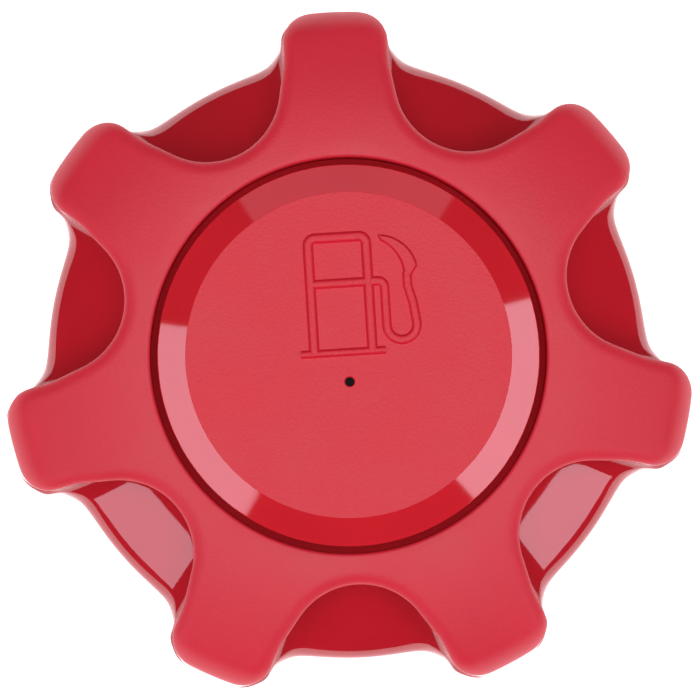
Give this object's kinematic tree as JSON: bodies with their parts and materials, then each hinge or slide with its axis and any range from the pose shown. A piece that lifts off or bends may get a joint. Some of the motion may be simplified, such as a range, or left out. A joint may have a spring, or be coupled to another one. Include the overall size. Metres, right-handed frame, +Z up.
{
  "type": "fuel tank cap",
  "caption": "Screw-on vented fuel tank cap with a lobed grip knob, a raised fuel pump sign, a click ratchet, a threaded closure and a roll-over vent valve.",
  "frame": {"origin": "on the cap's axis, in the plane of the skirt's rim and of the ball cage's flat underside", "axes": "+Z up along the axis, out of the tank; +Y through the middle of one lobe and upright on the fuel pump sign; +X to the sign's right"},
  "size_m": [0.089, 0.0869, 0.0281],
  "materials": {
    "knob_red": "moulded: fine-grained matte top face, glossy scoops and rim",
    "insert_red": "moulded: fine-grained matte disc with a glossy chamfer",
    "closure_black": "moulded, satin",
    "ratchet_natural": "natural acetal",
    "valve_grey": "moulded, satin",
    "seal_rubber": "smooth rubber",
    "zinc_steel": "zinc plated",
    "filter_foam": "open-cell filter foam"
  },
  "bodies": {
    "closure": {"threaded_closure": "closure_black", "neck_gasket": "seal_rubber", "pawl_ring": "ratchet_natural", "hub_snap_ring": "zinc_steel", "thrust_washer": "ratchet_natural", "filter_disc": "filter_foam", "filter_retainer": "valve_grey", "valve_housing": "valve_grey", "housing_seal": "seal_rubber", "housing_screw_1": "zinc_steel", "housing_screw_2": "zinc_steel", "housing_screw_3": "zinc_steel", "ball_cage": "valve_grey"},
    "knob": {"knob_shell": "knob_red", "top_insert": "insert_red", "ratchet_ring": "ratchet_natural"},
    "relief_valve": {"relief_plate": "zinc_steel", "relief_seal": "seal_rubber", "relief_spring": "zinc_steel"},
    "vacuum_valve": {"vacuum_valve": "ratchet_natural", "stem_collar": "zinc_steel", "vacuum_spring": "zinc_steel"},
    "rollover_ball": {"rollover_ball": "ratchet_natural"}
  },
  "joints": [
    {"name": "knob_turn", "type": "hinge", "parent": "closure", "child": "knob", "pos_m": [0, 0, 0.0225], "axis": [0, 0, 1], "continuous": true},
    {"name": "relief_lift", "type": "slide", "parent": "closure", "child": "relief_valve", "axis": [0, 0, 1], "range_m": [0, 0.0007], "stiffness_N_per_m": 400, "springref_m": -0.003, "deforming": ["relief_spring"]},
    {"name": "vacuum_drop", "type": "slide", "parent": "relief_valve", "child": "vacuum_valve", "axis": [0, 0, 1], "range_m": [-0.0006, 0], "stiffness_N_per_m": 60, "springref_m": 0.001, "deforming": ["vacuum_spring"]},
    {"name": "ball_rise", "type": "slide", "parent": "closure", "child": "rollover_ball", "axis": [0, 0, 1], "range_m": [0, 0.002]}
  ]
}
